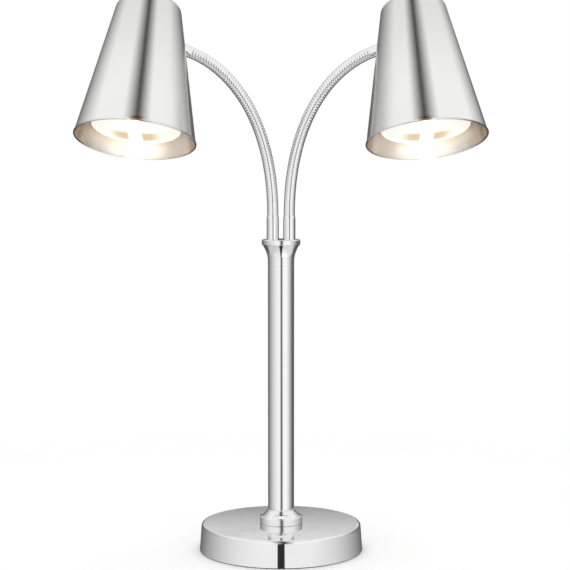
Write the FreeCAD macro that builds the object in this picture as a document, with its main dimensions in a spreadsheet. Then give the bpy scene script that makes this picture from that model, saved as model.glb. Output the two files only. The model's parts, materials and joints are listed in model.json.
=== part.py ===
import FreeCAD, Part
import math
import os
import re
import Sketcher
from FreeCAD import Placement, Rotation, Vector

# Table-top food warmer: a weighted round base, one straight column, and two bendable necks
# that each carry a conical shade with a reflector heat lamp. Millimetres. The origin is the
# centre of the footprint on the table, +Z is up, and -Y is the front, to which both shades open.

DIMENSIONS = {
    # base
    "base_radius": 114.3,
    "base_top_radius": 111.6,
    "base_height": 38.0,
    "base_edge_round": 3.6,
    "base_lift": 1.2,
    "cover_wall": 1.2,
    "pad_radius": 106.0,
    "pad_gauge": 3.0,
    "plate_radius": 112.3,
    "plate_gauge": 1.2,
    "plate_screw_circle": 82.0,
    "plate_screw_radius": 2.0,
    "plate_screw_head": 3.6,
    "plate_screw_depth": 11.0,
    "plate_screw_tip_gap": 1.0,
    "pad_hole_radius": 4.6,
    "weight_radius": 104.0,
    "weight_depth": 18.0,
    "weight_chord": 66.0,
    "nut_pocket_radius": 14.0,
    "nut_pocket_depth": 8.0,
    # tie rod that clamps the stack together
    "rod_radius": 5.0,
    "rod_bore": 3.4,
    "rod_start": 5.4,
    "rod_finish": 409.0,
    "rod_nut_flats": 16.0,
    "rod_nut_height": 5.0,
    "washer_radius": 12.0,
    "washer_gauge": 1.6,
    "spacer_radius": 12.0,
    "thread_gap": 0.05,
    # foot collar
    "collar_radius": 30.0,
    "collar_rim": 8.4,
    "collar_round": 1.0,
    "cove_radius": 24.0,
    "cove_rise": 9.5,
    "collar_lip_radius": 19.3,
    "collar_lip_rise": 0.5,
    "collar_lip_round": 0.4,
    "collar_floor": 6.0,
    "collar_gap": 0.1,
    # column and its flared cap
    "column_radius": 18.35,
    "column_bore": 16.85,
    "column_top": 400.0,
    "seam_chamfer": 0.35,
    "cap_spigot": 12.0,
    "cap_straight": 5.5,
    "flare_radius": 40.0,
    "flare_rise": 29.0,
    "rim_radius": 26.9,
    "rim_foot_round": 0.9,
    "rim_round": 1.8,
    "cap_height": 36.8,
    "cap_floor": 11.0,
    "cap_roof": 3.3,
    "cavity_foot": 15.2,
    "cavity_head": 21.8,
    "cavity_shoulder": 2.0,
    # necks
    "neck_spread": 11.5,
    "neck_radius": 7.8,
    "neck_bore": 5.5,
    "neck_length": 264.7,
    "neck_gap": 2.4,
    "neck_links": 7,
    "first_bend": 5.34,
    "bend_growth": 1.2,
    "neck_turn": 15.0,
    "ferrule_radius": 8.5,
    "ferrule_length": 33.7,
    "ferrule_taper": 5.0,
    "nipple_radius": 5.0,
    "nipple_bore": 3.6,
    "nipple_drop": 11.0,
    "lock_nut_flats": 13.0,
    "lock_nut_height": 4.0,
    # heads
    "head_out": 193.0,
    "head_forward": 100.0,
    "head_height": 572.6,
    "head_lean": 4.82,
    "head_tip": 18.07,
    "shade_radius": 81.0,
    "cone_angle": 11.28,
    "shade_length": 195.0,
    "shade_shoulder": 14.0,
    "shade_wall": 1.0,
    "lip_radius": 1.2,
    "vent_circle": 19.0,
    "vent_radius": 2.5,
    "vent_count": 8,
    "upper_ferrule_radius": 8.2,
    "upper_ferrule_length": 24.0,
    "upper_nipple_length": 13.0,
    "hub_radius": 11.5,
    "hub_start": 4.0,
    "hub_end": 31.0,
    "hole_gap": 0.1,
    "bracket_span": 40.0,
    "bracket_width": 16.0,
    "bracket_gauge": 1.5,
    "bracket_foot": 9.0,
    "bracket_screw_spot": 25.0,
    "bracket_screw_radius": 1.6,
    "bracket_screw_head": 3.2,
    "bracket_screw_depth": 6.0,
    "socket_radius": 20.5,
    "socket_bore": 14.6,
    "socket_mouth": 139.0,
    "socket_top": 183.0,
    "socket_neck": 15.0,
    "socket_shoulder": 7.0,
    "socket_floor": 8.0,
    "contact_wall": 0.8,
    # lamp
    "bulb_face": 5.0,
    "bulb_rim_radius": 56.8,
    "bulb_widest": 59.3,
    "bulb_widest_height": 20.5,
    "bulb_face_radius": 165.0,
    "bulb_corner_radius": 4.0,
    "bulb_back_radius": 190.0,
    "bulb_waist_radius": 20.0,
    "bulb_waist_height": 114.0,
    "bulb_neck_radius": 12.5,
    "bulb_neck_height": 150.0,
    "bulb_throat_radius": 70.0,
    "bulb_glass_wall": 1.0,
    "screw_cap_radius": 13.3,
    "screw_cap_wall": 0.6,
    "screw_cap_start": 144.0,
    "screw_cap_shoulder": 167.0,
    "screw_cap_end": 170.5,
    "contact_radius": 4.5,
    "contact_height": 2.0,
    "stem_foot": 118.0,
    "stem_radius": 4.5,
    "coil_height": 84.0,
    "coil_radius": 9.0,
    "coil_wire": 0.8,
    "support_wire": 0.5,
    "post_root": 1.0,
    # fittings on the back of the base
    "fitting_height": 19.0,
    "switch_azimuth": 20.0,
    "switch_width": 12.4,
    "switch_length": 18.8,
    "switch_depth": 16.0,
    "flange_width": 15.0,
    "flange_length": 21.6,
    "flange_gauge": 1.6,
    "rocker_well_width": 10.4,
    "rocker_well_length": 17.2,
    "rocker_well_depth": 7.0,
    "cutout_gap": 0.2,
    "cutter_length": 16.0,
    "rocker_width": 9.6,
    "rocker_reach": 7.6,
    "rocker_crest": 2.6,
    "rocker_valley": 1.2,
    "rocker_heel": 7.0,
    "rocker_heel_depth": 3.0,
    "rocker_keel": 5.0,
    "rocker_tilt": 10.0,
    "pivot_depth": 1.0,
    "pivot_radius": 1.0,
    "pivot_length": 11.6,
    "gland_radius": 9.5,
    "gland_flange": 4.0,
    "gland_nose_radius": 7.0,
    "gland_nose": 12.0,
    "gland_tip_radius": 6.0,
    "gland_thread_radius": 7.5,
    "gland_thread": 10.0,
    "gland_bore": 3.75,
    "gland_nut_flats": 20.0,
    "gland_nut_near": 2.0,
    "gland_nut_height": 4.0,
    "block_length": 36.0,
    "block_width": 14.0,
    "block_height": 12.0,
    "block_spot": 78.0,
    "block_screw_radius": 2.2,
    "block_screw_pitch": 12.0,
    "block_screw_depth": 5.0,
    "lead_radius": 0.8,
    "lead_clearance": 1.4,
    "lead_circle": 1.9,
    "lead_start": 28.0,
    "lead_finish": 420.0,
}

SIDES = {"left": -1, "right": 1}
ON_AXIS = 1e-9
MATCH = 1e-3

doc = FreeCAD.newDocument("heat_lamp_warmer")
dims = doc.addObject("Spreadsheet::Sheet", "dims")
for row, (alias, number) in enumerate(DIMENSIONS.items(), start=1):
    dims.set(f"A{row}", alias.replace("_", " "))
    dims.set(f"B{row}", str(number))
    dims.setAlias(f"B{row}", alias)
doc.recompute()

sub_parts = []


# ---- expressions and placements ----


def bound(text):
    """An expression in plain dimension names, with each name pointed at the sheet."""
    return re.sub(r"[a-z][a-z_]+", lambda found: point_at_sheet(found.group(0)), text)


def point_at_sheet(word):
    return f"dims.{word}" if word in DIMENSIONS else word


def measure(text):
    """The value of an expression in plain dimension names."""
    return float(dims.evalExpression(bound(text)))


def tie(thing, **sizes):
    """Bind each named property of an object to its expression."""
    for name, text in sizes.items():
        thing.setExpression(name, bound(text))
    return thing


def keep(thing):
    """List an object as a finished sub-part."""
    sub_parts.append(thing)
    return thing


def frame(origin, across, along):
    """A placement whose local X is across and whose local Z is along."""
    return Placement(origin, Rotation(across, along.cross(across), along, "ZXY"))


def lifted(place, z_text, x=0.0, y=0.0):
    """The placement moved by local x and y, and up its own Z by an expression."""
    return place.multiply(Placement(Vector(x, y, measure(z_text)), Rotation()))


WORLD = Placement()


def wall_frame(azimuth):
    """On the outside of the base wall, local Z leaving it and local Y climbing it, azimuth from +Y."""
    lean = math.atan2(
        measure("base_radius - base_top_radius"), measure("base_height - base_lift")
    )
    turn = math.radians(azimuth)
    height = measure("fitting_height")
    radius = measure("base_radius") - (height - measure("base_lift")) * math.tan(lean)
    outward = Vector(math.sin(turn), math.cos(turn), 0)
    normal = outward * math.cos(lean) + Vector(0, 0, math.sin(lean))
    tangent = Vector(0, 0, 1).cross(outward)
    return frame(outward * radius + Vector(0, 0, height), tangent, normal)


def head_frame(side):
    """At the centre of a shade's mouth: local Z runs up the cone's axis and local Y to the back."""
    lean = math.radians(measure("head_lean"))
    tip = math.radians(measure("head_tip"))
    inward = -SIDES[side]
    axis = Vector(
        inward * math.sin(lean) * math.cos(tip), math.sin(tip), math.cos(lean) * math.cos(tip)
    )
    origin = Vector(-inward * measure("head_out"), -measure("head_forward"), measure("head_height"))
    across = Vector(0, 1, 0).cross(axis).normalize()
    return frame(origin, across, axis)


def neck_plane(side):
    """The neck's starting point on top of the lower ferrule, and the way in which it bends."""
    turn = math.radians(measure("neck_turn"))
    start = Vector(
        SIDES[side] * measure("neck_spread"), 0, measure("column_top + cap_height + ferrule_length")
    )
    outward = Vector(SIDES[side] * math.cos(turn), -math.sin(turn), 0)
    return start, outward


def neck_stations(side):
    """Every joint's point and heading from the vertical, with the next link's radius and bend."""
    point, outward = neck_plane(side)
    gap, links = measure("neck_gap"), round(measure("neck_links"))
    pitch = (measure("neck_length") - gap) / links
    heading, stations = 0.0, []
    point = point + heading_vector(outward, heading) * (gap / 2)
    for link in range(links):
        bend = math.radians(measure("first_bend") * measure("bend_growth") ** link)
        radius = pitch / bend
        stations.append((point, heading, radius, bend))
        centre = point + heading_normal(outward, heading) * radius
        heading += bend
        point = centre - heading_normal(outward, heading) * radius
    stations.append((point, heading, 0.0, 0.0))
    return stations


def heading_vector(outward, heading):
    return outward * math.sin(heading) + Vector(0, 0, math.cos(heading))


def heading_normal(outward, heading):
    """Square to the heading, in the neck's plane, towards the inside of its bend."""
    return outward * math.cos(heading) - Vector(0, 0, math.sin(heading))


def neck_end_frame(side):
    """Where the upper ferrule starts: local Z runs along it, into the shade."""
    point, heading, _, _ = neck_stations(side)[-1]
    _, outward = neck_plane(side)
    along = heading_vector(outward, heading)
    across = heading_normal(outward, heading)
    return frame(point + along * (measure("neck_gap") / 2), across, along)


# ---- sketched bodies ----


def new_body(label, place):
    body = doc.addObject("PartDesign::Body", label)
    body.Placement = place
    return body


def new_sketch(body, role):
    sketch = body.newObject("Sketcher::SketchObject", f"{body.Name}_sketch")
    plane = next(item for item in body.Origin.OriginFeatures if item.Role == role)
    sketch.AttachmentSupport = [(plane, "")]
    sketch.MapMode = "FlatFace"
    sketch.Visibility = False
    return sketch


def pin_point(sketch, edge, end, across, up):
    """Hold one end of an edge at a place measured from the sketch's origin."""
    for kind, text, axis in (("DistanceX", across, -2), ("DistanceY", up, -1)):
        value = measure(text)
        if abs(value) < ON_AXIS:
            sketch.addConstraint(Sketcher.Constraint("PointOnObject", edge, end, axis))
            continue
        ends = (-1, 1, edge, end) if value > 0 else (edge, end, -1, 1)
        signed = text if value > 0 else f"-({text})"
        index = sketch.addConstraint(Sketcher.Constraint(kind, *ends, abs(value)))
        sketch.setExpression(f"Constraints[{index}]", bound(signed))


def arc_between(start, finish, bend):
    """An arc, its centre left of the run when bend is positive, and the numbers of its two ends."""
    run = finish - start
    left = Vector(-run.y, run.x, 0).normalize()
    rise = math.sqrt(bend * bend - (run.Length / 2) ** 2)
    centre = start + run * 0.5 + left * math.copysign(rise, bend)
    first, last, ends = (start, finish, (1, 2)) if bend > 0 else (finish, start, (2, 1))
    from_angle = math.atan2(first.y - centre.y, first.x - centre.x)
    to_angle = math.atan2(last.y - centre.y, last.x - centre.x)
    if to_angle < from_angle:
        to_angle += 2 * math.pi
    circle = Part.Circle(centre, Vector(0, 0, 1), abs(bend))
    return Part.ArcOfCircle(circle, from_angle, to_angle), ends


def outline(sketch, corners):
    """A closed profile of corners (across, up), or (across, up, bend) where an arc runs to the next one."""
    spots = [Vector(measure(corner[0]), measure(corner[1]), 0) for corner in corners]
    ends = []
    for number, corner in enumerate(corners):
        start, finish = spots[number], spots[(number + 1) % len(corners)]
        if len(corner) == 3:
            edge, edge_ends = arc_between(start, finish, measure(corner[2]))
        else:
            edge, edge_ends = Part.LineSegment(start, finish), (1, 2)
        sketch.addGeometry(edge)
        ends.append(edge_ends)
    for number in range(len(corners)):
        following = (number + 1) % len(corners)
        joined = (number, ends[number][1], following, ends[following][0])
        sketch.addConstraint(Sketcher.Constraint("Coincident", *joined))
    for number, corner in enumerate(corners):
        pin_point(sketch, number, ends[number][0], corner[0], corner[1])
        if len(corner) == 3:
            radius = abs(measure(corner[2]))
            index = sketch.addConstraint(Sketcher.Constraint("Radius", number, radius))
            sketch.setExpression(f"Constraints[{index}]", bound(f"abs({corner[2]})"))


def circle(sketch, across, up, radius):
    centre = Vector(measure(across), measure(up), 0)
    edge = sketch.addGeometry(Part.Circle(centre, Vector(0, 0, 1), measure(radius)))
    pin_point(sketch, edge, 3, across, up)
    index = sketch.addConstraint(Sketcher.Constraint("Radius", edge, measure(radius)))
    sketch.setExpression(f"Constraints[{index}]", bound(radius))


def revolve(body, sketch):
    spin = body.newObject("PartDesign::Revolution", f"{body.Name}_spin")
    spin.Profile = sketch
    spin.ReferenceAxis = (sketch, ["V_Axis"])
    spin.Angle = 360
    return spin


def turned(label, corners, place=WORLD):
    """A piece turned on a lathe: its profile, spun about local Z."""
    body = new_body(label, place)
    sketch = new_sketch(body, "XZ_Plane")
    outline(sketch, corners)
    revolve(body, sketch)
    return body


def rings_at(shape, radius, height):
    """Names of the round edges with this radius at this height."""
    names = []
    for number, edge in enumerate(shape.Edges, start=1):
        if isinstance(edge.Curve, Part.Circle):
            same_size = abs(edge.Curve.Radius - radius) < MATCH
            if same_size and abs(edge.Curve.Center.z - height) < MATCH:
                names.append(f"Edge{number}")
    return names


def round_ring(body, radius, height, size):
    """Round over the circular edge of a turned body at a radius and height."""
    doc.recompute()
    base = body.Tip
    fillet = body.newObject("PartDesign::Fillet", f"{body.Name}_round")
    fillet.Base = (base, rings_at(base.Shape, measure(radius), measure(height)))
    return tie(fillet, Radius=size)


def hollow(body, height, wall):
    """Open the flat face at a height and leave a wall of even thickness."""
    doc.recompute()
    base = body.Tip
    level = measure(height)
    faces = [
        f"Face{number}"
        for number, face in enumerate(base.Shape.Faces, start=1)
        if isinstance(face.Surface, Part.Plane) and abs(face.CenterOfMass.z - level) < MATCH
    ]
    shell = body.newObject("PartDesign::Thickness", f"{body.Name}_shell")
    shell.Base = (base, faces)
    shell.Reversed = True
    return tie(shell, Value=wall)


def bore_up(body, spots, radius):
    """Round holes cut upwards from the body's own XY plane, at (x, y) expressions."""
    sketch = new_sketch(body, "XY_Plane")
    for across, up in spots:
        circle(sketch, across, up, radius)
    doc.recompute()
    before = body.Shape.Volume
    pocket = body.newObject("PartDesign::Pocket", f"{body.Name}_bore")
    pocket.Profile = sketch
    pocket.Type = "ThroughAll"
    pocket.Reversed = True
    doc.recompute()
    if body.Shape.Volume >= before:
        raise RuntimeError(f"{body.Label}: the bore cuts nothing")
    return pocket


# ---- primitives and booleans ----


def cylinder(name, radius, height, place=WORLD):
    solid = doc.addObject("Part::Cylinder", name)
    solid.Placement = place
    return tie(solid, Radius=radius, Height=height)


def box(name, width, depth, height, place=WORLD):
    """A block centred on the placement's Z axis and standing on its XY plane."""
    solid = doc.addObject("Part::Box", name)
    tie(solid, Length=width, Width=depth, Height=height)
    corner = Vector(-measure(width) / 2, -measure(depth) / 2, 0)
    solid.Placement = place.multiply(Placement(corner, Rotation()))
    return solid


def hexagon(name, flats, height, place=WORLD):
    solid = doc.addObject("Part::Prism", name)
    solid.Polygon = 6
    solid.Placement = place
    return tie(solid, Circumradius=f"{flats} / 2 / cos(30)", Height=height)


def fused(label, solids):
    union = doc.addObject("Part::MultiFuse", label)
    union.Shapes = solids
    return union


def less(label, base, tools):
    """The base with every tool cut out of it."""
    cut = doc.addObject("Part::Cut", label)
    cut.Base = base
    cut.Tool = tools[0] if len(tools) == 1 else fused(f"{label}_tools", tools)
    return cut


def group(label, solids):
    """Identical pieces that share one node."""
    compound = doc.addObject("Part::Compound", label)
    compound.Links = solids
    return compound


def nut(label, flats, height, bore, place):
    name = f"{label}_blank"
    hole = cylinder(f"{label}_hole", bore, height, place)
    return less(label, hexagon(name, flats, height, place), [hole])


def screw(name, head, head_height, shank, depth, place):
    """A screw whose head stands on the placement's XY plane and whose shank goes down from it."""
    top = cylinder(f"{name}_head", head, head_height, place)
    stem = cylinder(f"{name}_shank", shank, depth, lifted(place, f"-({depth})"))
    return fused(name, [top, stem])


def wire(name, start, finish, radius):
    """A straight round wire between two points."""
    run = finish - start
    lead = doc.addObject("Part::Cylinder", name)
    lead.Placement = Placement(start, Rotation(Vector(0, 0, 1), run))
    lead.Height = run.Length
    return tie(lead, Radius=radius)


def on_diagonals(radius):
    """Four points on a circle about the origin, one in the middle of each quarter."""
    half_side = measure(radius) / math.sqrt(2)
    for across, up in ((1, 1), (-1, 1), (-1, -1), (1, -1)):
        yield Vector(across * half_side, up * half_side, 0)


# ---- base ----


def base_cover():
    body = turned(
        "base_cover_shell",
        [
            ("0", "base_lift"),
            ("base_radius", "base_lift"),
            ("base_top_radius", "base_height"),
            ("0", "base_height"),
        ],
    )
    round_ring(body, "base_top_radius", "base_height", "base_edge_round")
    hollow(body, "base_lift", "cover_wall")
    bore_up(body, [("0", "0")], "rod_radius + thread_gap")
    holes = [cylinder("gland_hole", "gland_thread_radius + hole_gap", "cutter_length", inside_wall(0))]
    for side, sign in SIDES.items():
        place = inside_wall(sign * measure("switch_azimuth"))
        size = ("switch_width + 2 * cutout_gap", "switch_length + 2 * cutout_gap", "cutter_length")
        holes.append(box(f"{side}_switch_hole", *size, place))
    keep(less("base_cover", body, holes))


def inside_wall(azimuth):
    """Half of a cutter's length behind the outer face of the wall."""
    return lifted(wall_frame(azimuth), "-cutter_length / 2")


def base_plate():
    blank = cylinder("plate_blank", "plate_radius", "plate_gauge", lifted(WORLD, "pad_gauge"))
    holes = []
    for number, spot in enumerate(on_diagonals("plate_screw_circle")):
        place = lifted(WORLD, "pad_gauge", spot.x, spot.y)
        name = f"plate_hole_{number}"
        holes.append(cylinder(name, "plate_screw_radius + hole_gap", "plate_gauge", place))
    keep(less("base_plate", blank, holes))


def base_weight():
    floor = "pad_gauge + plate_gauge"
    level = lifted(WORLD, floor)
    disc = cylinder("weight_disc", "weight_radius", "weight_depth", level)
    behind = lifted(WORLD, floor, 0, measure("weight_chord + weight_radius"))
    side = "2 * weight_radius"
    back = box("weight_back", side, side, "weight_depth", behind)
    tools = [
        back,
        cylinder("weight_bore", "rod_radius + thread_gap", "weight_depth", level),
        cylinder("weight_nut_pocket", "nut_pocket_radius", "nut_pocket_depth", level),
    ]
    for number, spot in enumerate(on_diagonals("plate_screw_circle")):
        place = lifted(WORLD, floor, spot.x, spot.y)
        name = f"weight_tapping_{number}"
        tools.append(cylinder(name, "plate_screw_radius + thread_gap", "plate_screw_depth", place))
    keep(less("base_weight", disc, tools))


def plate_screws():
    screws = []
    for number, spot in enumerate(on_diagonals("plate_screw_circle")):
        head_down = Placement(
            Vector(spot.x, spot.y, measure("pad_gauge")), Rotation(Vector(1, 0, 0), 180)
        )
        screws.append(
            screw(
                f"plate_screw_{number}",
                "plate_screw_head",
                "pad_gauge / 2",
                "plate_screw_radius",
                "plate_gauge + plate_screw_depth - plate_screw_tip_gap",
                head_down,
            )
        )
    keep(group("base_plate_screws", screws))


def base_pad():
    """A rubber disc over the underside, with access holes for the plate screws."""
    disc = cylinder("pad_disc", "pad_radius", "pad_gauge")
    holes = []
    for number, spot in enumerate(on_diagonals("plate_screw_circle")):
        place = Placement(spot, Rotation())
        holes.append(cylinder(f"pad_hole_{number}", "pad_hole_radius", "pad_gauge", place))
    keep(less("base_pad", disc, holes))


def tie_rod():
    ring = [
        ("rod_bore", "rod_start"),
        ("rod_radius", "rod_start"),
        ("rod_radius", "rod_finish"),
        ("rod_bore", "rod_finish"),
    ]
    keep(turned("tie_rod", ring))
    pocket_top = "pad_gauge + plate_gauge + nut_pocket_depth"
    washer_level = f"{pocket_top} - washer_gauge"
    washer = cylinder("washer_blank", "washer_radius", "washer_gauge", lifted(WORLD, washer_level))
    hole = cylinder(
        "washer_hole", "rod_radius + thread_gap", "washer_gauge", lifted(WORLD, washer_level)
    )
    keep(less("tie_rod_washer", washer, [hole]))
    nut_level = lifted(WORLD, f"{washer_level} - rod_nut_height")
    keep(nut("tie_rod_nut", "rod_nut_flats", "rod_nut_height", "rod_radius + thread_gap", nut_level))
    foot = lifted(WORLD, "pad_gauge + plate_gauge + weight_depth")
    rise = "base_height - cover_wall - pad_gauge - plate_gauge - weight_depth"
    tube = cylinder("spacer_tube", "spacer_radius", rise, foot)
    bore = cylinder("spacer_bore", "rod_radius + thread_gap", rise, foot)
    keep(less("base_spacer", tube, [bore]))


# ---- column ----


def foot_collar():
    """A short drum under a cove that climbs to a thin lip around the column."""
    rim = "base_height + collar_rim"
    ledge = f"{rim} + collar_round"
    lip = f"{ledge} + cove_rise"
    lip_top = f"{lip} + collar_lip_rise"
    crown = f"{lip_top} + collar_lip_round"
    keep(
        turned(
            "foot_collar",
            [
                ("rod_radius + thread_gap", "base_height"),
                ("collar_radius - collar_round", "base_height", "collar_round"),
                ("collar_radius", "base_height + collar_round"),
                ("collar_radius", rim, "collar_round"),
                ("collar_radius - collar_round", ledge, "-cove_radius"),
                ("collar_lip_radius", lip),
                ("collar_lip_radius", lip_top, "collar_lip_round"),
                ("collar_lip_radius - collar_lip_round", crown),
                ("column_radius + collar_gap", crown),
                ("column_radius + collar_gap", "base_height + collar_floor"),
                ("rod_radius + thread_gap", "base_height + collar_floor"),
            ],
        )
    )


def column_tube():
    keep(
        turned(
            "column_tube",
            [
                ("column_bore", "base_height + collar_floor"),
                ("column_radius", "base_height + collar_floor"),
                ("column_radius", "column_top - seam_chamfer"),
                ("column_radius - seam_chamfer", "column_top"),
                ("column_bore", "column_top"),
            ],
        )
    )


def column_cap():
    top = "column_top + cap_height"
    flare_top = "column_top + flare_rise"
    roof = f"{top} - cap_roof"
    body = turned(
        "column_cap_turning",
        [
            ("rod_radius + thread_gap", "column_top - cap_spigot"),
            ("column_bore - thread_gap", "column_top - cap_spigot"),
            ("column_bore - thread_gap", "column_top"),
            ("column_radius - seam_chamfer", "column_top"),
            ("column_radius", "column_top + seam_chamfer"),
            ("column_radius", "column_top + cap_straight", "-flare_radius"),
            ("rim_radius - rim_foot_round", flare_top, "rim_foot_round"),
            ("rim_radius", f"{flare_top} + rim_foot_round"),
            ("rim_radius", top),
            ("0", top),
            ("0", roof),
            ("cavity_head", roof),
            ("cavity_head", f"{roof} - cavity_shoulder"),
            ("cavity_foot", "column_top + cap_floor"),
            ("rod_radius + thread_gap", "column_top + cap_floor"),
        ],
    )
    round_ring(body, "rim_radius", top, "rim_round")
    holes = []
    for side, sign in SIDES.items():
        place = lifted(WORLD, roof, sign * measure("neck_spread"))
        holes.append(cylinder(f"{side}_nipple_hole", "nipple_radius + thread_gap", "cap_roof", place))
    keep(less("column_cap", body, holes))


def column_leads():
    leads = []
    for number, spot in enumerate(on_diagonals("lead_circle")):
        place = lifted(WORLD, "lead_start", spot.x, spot.y)
        leads.append(cylinder(f"column_lead_{number}", "lead_radius", "lead_finish - lead_start", place))
    keep(group("column_leads", leads))


# ---- necks ----


def lower_ferrule(side):
    seat = "column_top + cap_height"
    end = f"{seat} + ferrule_length"
    start, _ = neck_plane(side)
    keep(
        turned(
            f"{side}_neck_lower_ferrule",
            [
                ("nipple_bore", f"{seat} - nipple_drop"),
                ("nipple_radius", f"{seat} - nipple_drop"),
                ("nipple_radius", seat),
                ("ferrule_radius", seat),
                ("ferrule_radius", f"{end} - ferrule_taper"),
                ("neck_radius", end),
                ("nipple_bore", end),
            ],
            Placement(Vector(start.x, 0, 0), Rotation()),
        )
    )


def neck_lock_nuts():
    level = "column_top + cap_height - cap_roof - lock_nut_height"
    nuts = []
    for side, sign in SIDES.items():
        place = lifted(WORLD, level, sign * measure("neck_spread"))
        bore = "nipple_radius + thread_gap"
        nuts.append(nut(f"{side}_lock_nut", "lock_nut_flats", "lock_nut_height", bore, place))
    keep(group("neck_lock_nuts", nuts))


def neck_links(side):
    """The bendable neck as short curved tubes, with a flat-faced gap at each joint."""
    _, outward = neck_plane(side)
    half_gap = measure("neck_gap") / 2
    for number, (point, heading, radius, bend) in enumerate(neck_stations(side)[:-1], start=1):
        centre = point + heading_normal(outward, heading) * radius
        trim = half_gap / radius
        from_centre = heading_normal(outward, heading + trim) * -1
        along = heading_vector(outward, heading + trim)
        axis = from_centre.cross(along)
        place = Placement(centre, Rotation(from_centre, along, axis, "ZXY"))
        tubes = []
        for name, section in (("skin", "neck_radius"), ("bore", "neck_bore")):
            tube = doc.addObject("Part::Torus", f"{side}_neck_{name}_{number}")
            tube.Radius1 = radius
            tube.Angle3 = math.degrees(bend - 2 * trim)
            tube.Placement = place
            tubes.append(tie(tube, Radius2=section))
        keep(less(f"{side}_neck_link_{number}", tubes[0], tubes[1:]))


# ---- heads ----


def shade(side):
    place = head_frame(side)
    top_radius = "shade_radius - shade_length * tan(cone_angle)"
    body = turned(
        f"{side}_shade_spinning",
        [
            ("0", "0"),
            ("shade_radius", "0"),
            (top_radius, "shade_length"),
            ("0", "shade_length"),
        ],
        place,
    )
    round_ring(body, top_radius, "shade_length", "shade_shoulder")
    hollow(body, "0", "shade_wall")
    lip = new_sketch(body, "XZ_Plane")
    circle(lip, "shade_radius - shade_wall / 2", "lip_radius", "lip_radius")
    revolve(body, lip)
    screw_spots = [("bracket_screw_spot", "0"), ("-bracket_screw_spot", "0")]
    bore_up(body, screw_spots, "bracket_screw_radius + hole_gap")
    half_step = "180 / vent_count"
    vent_spot = (f"vent_circle * cos({half_step})", f"vent_circle * sin({half_step})")
    vent = bore_up(body, [vent_spot], "vent_radius")
    ring = body.newObject("PartDesign::PolarPattern", f"{side}_shade_vents")
    ring.Originals = [vent]
    ring.Axis = (vent.Profile[0], ["N_Axis"])
    ring.Angle = 360
    tie(ring, Occurrences="vent_count")
    body.Tip = ring
    through = lifted(neck_end_frame(side), "hub_start")
    reach = "upper_ferrule_length - hub_start"
    hole = cylinder(f"{side}_shade_hole", "upper_ferrule_radius + hole_gap", reach, through)
    keep(less(f"{side}_shade", body, [hole]))


def upper_ferrule(side):
    end = "upper_ferrule_length"
    keep(
        turned(
            f"{side}_neck_upper_ferrule",
            [
                ("nipple_bore", "0"),
                ("neck_radius", "0"),
                ("upper_ferrule_radius", "ferrule_taper"),
                ("upper_ferrule_radius", end),
                ("nipple_radius", end),
                ("nipple_radius", f"{end} + upper_nipple_length"),
                ("nipple_bore", f"{end} + upper_nipple_length"),
            ],
            neck_end_frame(side),
        )
    )


def neck_hub(side):
    """A saddle cut to the inside of the cone, with a flat seat for the nut."""
    place = neck_end_frame(side)
    post = cylinder(
        f"{side}_hub_post", "hub_radius", "hub_end - hub_start", lifted(place, "hub_start")
    )
    cone = doc.addObject("Part::Cone", f"{side}_hub_cone")
    cone.Placement = head_frame(side)
    inset = "(shade_wall + thread_gap) / cos(cone_angle)"
    tie(
        cone,
        Radius1=f"shade_radius - {inset}",
        Radius2=f"shade_radius - {inset} - shade_length * tan(cone_angle)",
        Height="shade_length",
    )
    saddle = doc.addObject("Part::Common", f"{side}_hub_saddle")
    saddle.Base = post
    saddle.Tool = cone
    seat = cylinder(
        f"{side}_hub_seat", "upper_ferrule_radius + hole_gap", "upper_ferrule_length", place
    )
    bore = cylinder(f"{side}_hub_bore", "nipple_radius + thread_gap", "hub_end", place)
    keep(less(f"{side}_neck_hub", saddle, [seat, bore]))
    keep(
        nut(
            f"{side}_hub_nut",
            "lock_nut_flats",
            "lock_nut_height",
            "nipple_radius + thread_gap",
            lifted(place, "hub_end"),
        )
    )


def socket_bracket(side):
    """A hat-shaped strap under the roof of the shade, from which the socket hangs."""
    place = head_frame(side)
    roof = "shade_length - shade_wall"
    gauge, width = "bracket_gauge", "bracket_width"
    reach = measure("bracket_span") / 2
    leg_spot = reach - measure("bracket_gauge") / 2
    foot_spot = reach + measure("bracket_foot") / 2
    plates = [
        box(f"{side}_bracket_bridge", "bracket_span", width, gauge, lifted(place, "socket_top"))
    ]
    for name, sign in SIDES.items():
        leg = lifted(place, "socket_top", sign * leg_spot)
        foot = lifted(place, f"{roof} - bracket_gauge", sign * foot_spot)
        plates.append(box(f"{side}_bracket_{name}_leg", gauge, width, f"{roof} - socket_top", leg))
        plates.append(box(f"{side}_bracket_{name}_foot", "bracket_foot", width, gauge, foot))
    holes = [cylinder(f"{side}_bracket_wire_hole", "nipple_radius", "shade_length", place)]
    screws = []
    for name, sign in SIDES.items():
        spot = sign * measure("bracket_screw_spot")
        holes.append(
            cylinder(
                f"{side}_bracket_{name}_hole",
                "bracket_screw_radius + hole_gap",
                "shade_length",
                lifted(place, "0", spot),
            )
        )
        screws.append(
            screw(
                f"{side}_bracket_{name}_screw",
                "bracket_screw_head",
                "bracket_screw_head / 2",
                "bracket_screw_radius",
                "bracket_screw_depth",
                lifted(place, "shade_length", spot),
            )
        )
    keep(less(f"{side}_socket_bracket", fused(f"{side}_bracket_strap", plates), holes))
    keep(group(f"{side}_bracket_screws", screws))


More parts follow.
